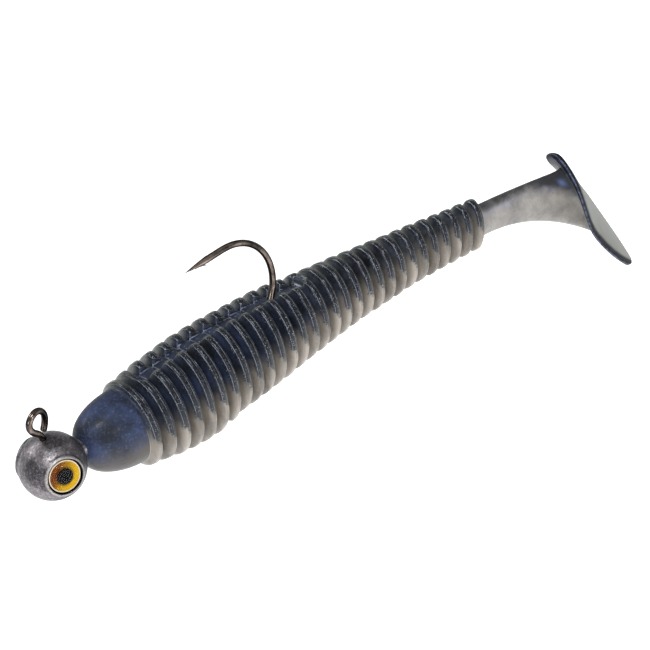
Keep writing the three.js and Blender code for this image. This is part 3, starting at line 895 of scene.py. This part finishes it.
# ---------------------------------------------------------------- hook
BALL_CENTRE_Z = 3.0 - TIE_HEIGHT
BALL_RADIUS = 5.4
WIRE_RADIUS = 0.56
SHANK_SLOPE = -0.06
BEND_RADIUS = 8.85
HOOK_REAR_X = 49.35
ARM_LENGTH = 3.0
TAPER_LENGTH = 5.0
TAPER_STEPS = 26
POINT_RADIUS = 0.02
SHANK_START_X = 3
BARB_SETBACK = 2.9
BARB_LENGTH = 2.6
BARB_RISE = 0.95
BARB_HALF_WIDTH = 0.3
BARB_HALF_DEPTH = 0.24
BARB_STEPS = 13
BARB_SIDES = 16
TIE_END_OFFSET = 1.15

# The line tie, from its free end round to the post: x, share of TIE_END_OFFSET across, height.
TIE_LOOP = (
    (1.2, 1, -2.9), (1.6, 0.82, -1.8), (1.75, 0.6, -0.6), (1.55, 0.4, 0.5), (0.9, 0.2, 1.4),
    (0, 0.08, 1.75), (-1.0, 0, 1.45), (-1.7, 0, 0.65), (-1.8, 0, -0.3), (-1.35, 0, -1.2),
    (-0.6, 0, -2.0), (-0.1, 0, -2.8),
)

# The post under it, inside the ball: x and height above the ball's centre.
HOOK_POST = ((0, 3), (0.1, 1.2), (0.8, 0.25))


def hook_points():
    """Points along the wire up to where the point tapers, and the direction of the point."""
    points = [(x, share * TIE_END_OFFSET, z) for x, share, z in TIE_LOOP]
    points += [(x, 0, BALL_CENTRE_Z + z) for x, z in HOOK_POST]
    tilt = math.atan(SHANK_SLOPE)
    centre_x = HOOK_REAR_X - BEND_RADIUS
    centre_z = BALL_CENTRE_Z + SHANK_SLOPE * centre_x + BEND_RADIUS / math.cos(tilt)

    def on_bend(angle):
        leaning = angle + tilt
        x = centre_x + BEND_RADIUS * math.cos(leaning)
        return (x, 0, centre_z + BEND_RADIUS * math.sin(leaning))

    shank_end = on_bend(-math.pi / 2)[0] - 3
    for step in range(7):
        x = SHANK_START_X + (shank_end - SHANK_START_X) * step / 6
        points.append((x, 0, BALL_CENTRE_Z + SHANK_SLOPE * x))
    for step in range(15):
        points.append(on_bend(-math.pi / 2 + math.pi * step / 14))
    arm_start = np.array(on_bend(math.pi / 2))
    along = np.array([-math.cos(tilt), 0, -math.sin(tilt)])
    for reach in (ARM_LENGTH / 3, ARM_LENGTH * 2 / 3, ARM_LENGTH):
        points.append(tuple(arm_start + along * reach))
    return np.array(points, float), along


def smooth_path(points, steps):
    """A centripetal Catmull-Rom curve through the points."""
    first = 2 * points[0] - points[1]
    last = 2 * points[-1] - points[-2]
    padded = np.vstack([first, points, last])
    result = []
    for index in range(1, len(padded) - 2):
        p0, p1, p2, p3 = padded[index - 1:index + 3]
        t0 = 0.0
        t1 = t0 + np.linalg.norm(p1 - p0) ** 0.5
        t2 = t1 + np.linalg.norm(p2 - p1) ** 0.5
        t3 = t2 + np.linalg.norm(p3 - p2) ** 0.5
        for step in range(steps):
            t = t1 + (t2 - t1) * step / steps
            a1 = (t1 - t) / (t1 - t0) * p0 + (t - t0) / (t1 - t0) * p1
            a2 = (t2 - t) / (t2 - t1) * p1 + (t - t1) / (t2 - t1) * p2
            a3 = (t3 - t) / (t3 - t2) * p2 + (t - t2) / (t3 - t2) * p3
            b1 = (t2 - t) / (t2 - t0) * a1 + (t - t0) / (t2 - t0) * a2
            b2 = (t3 - t) / (t3 - t1) * a2 + (t - t1) / (t3 - t1) * a3
            result.append((t2 - t) / (t2 - t1) * b1 + (t - t1) / (t2 - t1) * b2)
    result.append(points[-1])
    return np.array(result)


def tube(name, path, radii, sides):
    """A round wire along a path, with a radius at each point."""
    tangents = np.gradient(path, axis=0)
    tangents /= np.linalg.norm(tangents, axis=1)[:, None]
    normal = np.cross(tangents[0], (0, 1, 0.01))
    turns = around(sides)
    rows = []
    for spot, tangent, radius in zip(path, tangents, radii):
        normal = normal - tangent * normal.dot(tangent)
        normal /= np.linalg.norm(normal)
        side_axis = np.cross(tangent, normal)
        circle = np.outer(np.cos(turns), normal) + np.outer(np.sin(turns), side_axis)
        rows.append(spot + radius * circle)
    return new_object(name, np.concatenate(rows) * MM, loft_faces(len(rows), sides, True, True))


wire_points, arm_along = hook_points()
wire_path = smooth_path(wire_points, 8)
taper_shares = np.arange(1, TAPER_STEPS + 1) / TAPER_STEPS
taper = wire_path[-1] + np.outer(taper_shares, arm_along * TAPER_LENGTH)
wire_radii = np.full(len(wire_path), WIRE_RADIUS)
wire_radii[0] = WIRE_RADIUS * 0.86
taper_radii = WIRE_RADIUS * (1 - taper_shares ** 1.35) + POINT_RADIUS
hook = tube("hook_wire", np.vstack([wire_path, taper]), np.concatenate([wire_radii, taper_radii]), 28)

barb_root = wire_path[-1] + arm_along * BARB_SETBACK
barb_out = np.array([0, 0, -1.0])
barb_turns = around(BARB_SIDES)
barb_rows = []
for step in range(BARB_STEPS):
    share = step / (BARB_STEPS - 1)
    narrowing = (1 - share) ** 0.8
    wide = BARB_HALF_WIDTH * narrowing + POINT_RADIUS
    deep = BARB_HALF_DEPTH * narrowing + POINT_RADIUS
    spot = barb_root - arm_along * BARB_LENGTH * share + barb_out * (0.12 + BARB_RISE * share ** 1.5)
    sideways = np.outer(np.cos(barb_turns) * wide, (0, 1, 0))
    barb_rows.append(spot + sideways + np.outer(np.sin(barb_turns) * deep, barb_out))
barb_faces = loft_faces(BARB_STEPS, BARB_SIDES, True, True)
barb = new_object("barb", np.concatenate(barb_rows) * MM, barb_faces)
flip_if_inside_out(hook)
flip_if_inside_out(barb)
join(hook, barb)
hook.data.materials.append(NICKEL)
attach(hook, "rigged_fore_body")
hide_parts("hook")

# ---------------------------------------------------------------- jig head
EYE_RIM_OUTER = 3.25
EYE_RIM_INNER = 2.85
EYE_RIM_TOP = 4.82
EYE_RIM_ROOT = 3.2
EYE_FLOOR = 4.25
EYE_SIDES = 96
PUPIL_SIDES = 72
BALL_CENTRE = Vector((0.3, 0, BALL_CENTRE_Z))
BALL_STEPS = 80
BALL_SIDES = 120
COLLAR_SIDES = 48
CASTING_VOXEL = 0.11
AXIS_GAP = 0.01

# Turned profiles: distance from the axis, and along it from the ball's centre.
RIM_PROFILE = (
    (AXIS_GAP, EYE_RIM_ROOT),
    (EYE_RIM_OUTER + 0.25, EYE_RIM_ROOT),
    (EYE_RIM_OUTER + 0.12, 4.5),
    (EYE_RIM_OUTER, EYE_RIM_TOP - 0.2),
    (EYE_RIM_OUTER - 0.08, EYE_RIM_TOP - 0.04),
    (EYE_RIM_OUTER - 0.2, EYE_RIM_TOP),
    (EYE_RIM_INNER + 0.08, EYE_RIM_TOP - 0.02),
    (EYE_RIM_INNER - 0.4, EYE_RIM_TOP - 0.05),
    (AXIS_GAP, EYE_RIM_TOP - 0.05),
)
WELL_PROFILE = (
    (AXIS_GAP, EYE_FLOOR),
    (EYE_RIM_INNER - 0.12, EYE_FLOOR),
    (EYE_RIM_INNER - 0.02, EYE_FLOOR + 0.12),
    (EYE_RIM_INNER, EYE_RIM_TOP - 0.12),
    (EYE_RIM_INNER + 0.1, EYE_RIM_TOP + 0.02),
    (EYE_RIM_INNER + 0.1, 7),
    (AXIS_GAP, 7),
)
COLLAR_PROFILE = (
    (AXIS_GAP, 4), (1.7, 4), (1.7, 8.3), (2.15, 8.5), (2.2, 8.7), (1.6, 10.4), (AXIS_GAP, 10.4),
)
IRIS_PROFILE = (
    (0.02, 4.38), (2.55, 4.38), (2.63, 4.41), (2.65, 4.47), (2.6, 4.55), (2.45, 4.57), (2.0, 4.54),
    (0.02, 4.54),
)
PUPIL_PROFILE = (
    (0.02, 4.67), (1.28, 4.67), (1.32, 4.7), (1.3, 4.76), (1.2, 4.8), (0.6, 4.84), (0.02, 4.85),
)
DOME_RADIUS = 2.66
DOME_BASE = 4.91
DOME_HEIGHT = 0.62
DOME_STEPS = 18


def eye_axis(side):
    return Vector((-0.25, 0.96 * side, 0.12)).normalized()


def ball_profile():
    turns = [math.pi * step / BALL_STEPS for step in range(1, BALL_STEPS)]
    return [(BALL_RADIUS * math.sin(turn), BALL_RADIUS * math.cos(turn)) for turn in turns]


def dome_profile():
    rows = [(0.02, DOME_BASE - 0.03), (2.6, DOME_BASE - 0.03), (DOME_RADIUS, DOME_BASE)]
    for step in range(1, DOME_STEPS + 1):
        turn = math.pi / 2 * step / DOME_STEPS
        rows.append((DOME_RADIUS * math.cos(turn) + 0.004, DOME_BASE + DOME_HEIGHT * math.sin(turn)))
    return rows


def turned(name, profile, sides, direction):
    """A turned piece about an axis through the ball's centre, facing outwards."""
    piece = lathe(name, profile, sides, BALL_CENTRE, direction)
    flip_if_inside_out(piece)
    return piece


def combine(target, tool, operation):
    modifier = target.modifiers.new("combine", "BOOLEAN")
    modifier.operation = operation
    modifier.solver = "EXACT"
    modifier.object = tool
    bpy.context.view_layer.objects.active = target
    bpy.ops.object.modifier_apply(modifier=modifier.name)
    bpy.data.objects.remove(tool)


def rim_wear_and_gap_shade(spots):
    """1 on the crest of the eye rims for wear, below 0 for painted shade in the gap round each iris, 0
    elsewhere.
    """
    wear_and_gap_shade = np.zeros(len(spots))
    for side in (-1, 1):
        along = spots @ np.array(eye_axis(side))
        away = np.sqrt(np.maximum((spots ** 2).sum(1) - along ** 2, 0))
        crest = np.exp(-((away - EYE_RIM_OUTER + 0.1) / 0.17) ** 4)
        # painted shade in the gap round the iris
        gap = np.exp(-((away - EYE_RIM_INNER + 0.06) / 0.14) ** 4)
        wear_and_gap_shade = np.where(along > 4.0, crest - 0.9 * gap, wear_and_gap_shade)
    return wear_and_gap_shade


head = turned("jig_head_cast", ball_profile(), BALL_SIDES, (0, 1, 0))
for side in (-1, 1):
    combine(head, turned("rim", RIM_PROFILE, EYE_SIDES, eye_axis(side)), "UNION")
    combine(head, turned("well", WELL_PROFILE, EYE_SIDES, eye_axis(side)), "DIFFERENCE")
combine(head, turned("collar", COLLAR_PROFILE, COLLAR_SIDES, (1, 0, SHANK_SLOPE)), "UNION")

# the casting is one even skin with softened corners
remesh = head.modifiers.new("cast", "REMESH")
remesh.mode = "VOXEL"
remesh.voxel_size = CASTING_VOXEL * MM
soften = head.modifiers.new("soften", "SMOOTH")
soften.factor = 0.5
soften.iterations = 2
bpy.context.view_layer.objects.active = head
bpy.ops.object.modifier_apply(modifier="cast")
bpy.ops.object.modifier_apply(modifier="soften")
head.data.shade_smooth()
add_values(head, "wear_and_gap_shade", rim_wear_and_gap_shade(np.array([v.co for v in head.data.vertices]) / MM - np.array(BALL_CENTRE)))
head.data.materials.clear()
head.data.materials.append(LEAD)
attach(head, "rigged_fore_body")
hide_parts("jig_head")


# ---------------------------------------------------------------- eyes
def iris_foil(side, name):
    """Amber foil, browner towards the front and top, darker round the pupil, with a pale outer edge."""
    n = Nodes(f"iris_foil_{name}")
    centre = (BALL_CENTRE + eye_axis(side) * 4.5) * MM
    spot = n.add("ShaderNodeVectorMath", operation="SUBTRACT")
    n.link(n.place(), spot.inputs[0])
    spot.inputs[1].default_value = centre
    radius = n.add("ShaderNodeVectorMath", operation="LENGTH")
    n.link(spot.outputs[0], radius.inputs[0])
    away = n.times(radius.outputs["Value"], 1000.0)
    slope = n.add("ShaderNodeVectorMath", operation="DOT_PRODUCT")
    n.link(spot.outputs[0], slope.inputs[0])
    slope.inputs[1].default_value = (0.75, 0, -0.66)
    down_rear = n.times(slope.outputs["Value"], 1000.0)
    rays = n.noise(900, 4, 0.7)
    amber = n.mix(n.span(down_rear, -1.6, 1.6), colour(96, 44, 0), colour(188, 148, 0))
    amber = n.paint(amber, colour(64, 28, 0), n.span(away, 1.9, 1.25), 0.7)
    amber = n.paint(amber, colour(220, 180, 20), n.span(rays, 0.5, 0.75), 0.35)
    amber = n.mix(n.span(away, 2.42, 2.52), amber, colour(214, 202, 178))
    n.set(Base_Color=amber, Metallic=0.1, Roughness=0.5, Specular_IOR_Level=0.1)
    n.bump(rays, 0.15, 0.00005)
    return n.material


def pupil_ink(name):
    n = Nodes(f"pupil_ink_{name}")
    tone = n.mix(n.span(n.noise(1200, 3, 0.5), 0.4, 0.7), colour(8, 8, 9), colour(20, 20, 22))
    n.set(Base_Color=tone, Roughness=0.6, Specular_IOR_Level=0.05)
    return n.material


def clear_dome(name):
    """A clear dome seen only by the thin reflection on it."""
    n = Nodes(f"clear_dome_{name}")
    tone = n.mix(n.span(n.noise(500, 3, 0.5), 0.3, 0.7), (1, 1, 1, 1), (0.96, 0.95, 0.92, 1))
    n.set(Base_Color=tone, Metallic=1.0, Roughness=0.06, Alpha=0.005)
    return n.material


for side, name in ((-1, "left"), (1, "right")):
    axis = eye_axis(side)
    iris = turned(f"iris_disc_{name}", IRIS_PROFILE, EYE_SIDES, axis)
    iris.data.materials.append(iris_foil(side, name))
    pupil = turned(f"pupil_disc_{name}", PUPIL_PROFILE, PUPIL_SIDES, axis)
    pupil.data.materials.append(pupil_ink(name))
    dome = turned(f"dome_{name}", dome_profile(), EYE_SIDES, axis)
    dome.data.materials.append(clear_dome(name))
    for piece, node, slot in (
        (iris, "iris", "iris_foil"), (pupil, "pupil", "pupil_ink"), (dome, "lens", "clear_dome"),
    ):
        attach(piece, "rigged_fore_body")
        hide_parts(f"{node}_{name}")

# ---------------------------------------------------------------- stage
FLOOR_DROP = 0.035          # metres below the lowest point
FLOOR_HALF = 60
WORLD_STRENGTH = 0.4

floor_z = cad_box[0][2] - FLOOR_DROP
floor_corners = [(x * FLOOR_HALF, y * FLOOR_HALF, floor_z) for x, y in ((-1, -1), (1, -1), (1, 1), (-1, 1))]
floor = new_object("floor", floor_corners, [(0, 1, 2, 3)], False)
n = Nodes("floor_paper")
paper = n.mix(n.span(n.noise(3, 2, 0.5), 0.3, 0.7), (0.93, 0.93, 0.93, 1), (0.95, 0.95, 0.95, 1))
n.set(Base_Color=paper, Roughness=0.9, Emission_Color=(1, 1, 1, 1), Emission_Strength=0.5)
floor.data.materials.append(n.material)

world = bpy.data.worlds.new("studio")
scene.world = world
world.use_nodes = True
sky = world.node_tree.nodes["Background"]
sky.inputs["Color"].default_value = (1, 1, 1, 1)
sky.inputs["Strength"].default_value = WORLD_STRENGTH


def softbox(name, place, size, power):
    data = bpy.data.lights.new(name, "AREA")
    data.shape = "RECTANGLE"
    data.size = size[0]
    data.size_y = size[1]
    data.energy = power
    light = bpy.data.objects.new(name, data)
    scene.collection.objects.link(light)
    light.location = place
    light.rotation_euler = (LIT_MIDDLE - Vector(place)).to_track_quat("-Z", "Y").to_euler()


LIT_MIDDLE = Vector((0.055, 0, -0.012))
softbox("key", (-0.15, -0.3, 0.55), (0.2, 0.14), 2.7)
softbox("rim", (-0.2, 0.5, 0.55), (0.3, 0.12), 2.0)
softbox("fill", (-0.55, -0.2, 0.2), (0.2, 0.2), 0.7)
softbox("front", (0.02, -0.6, 0.15), (0.14, 0.1), 0.5)

scene.view_settings.view_transform = "Standard"
scene.view_settings.look = "None"
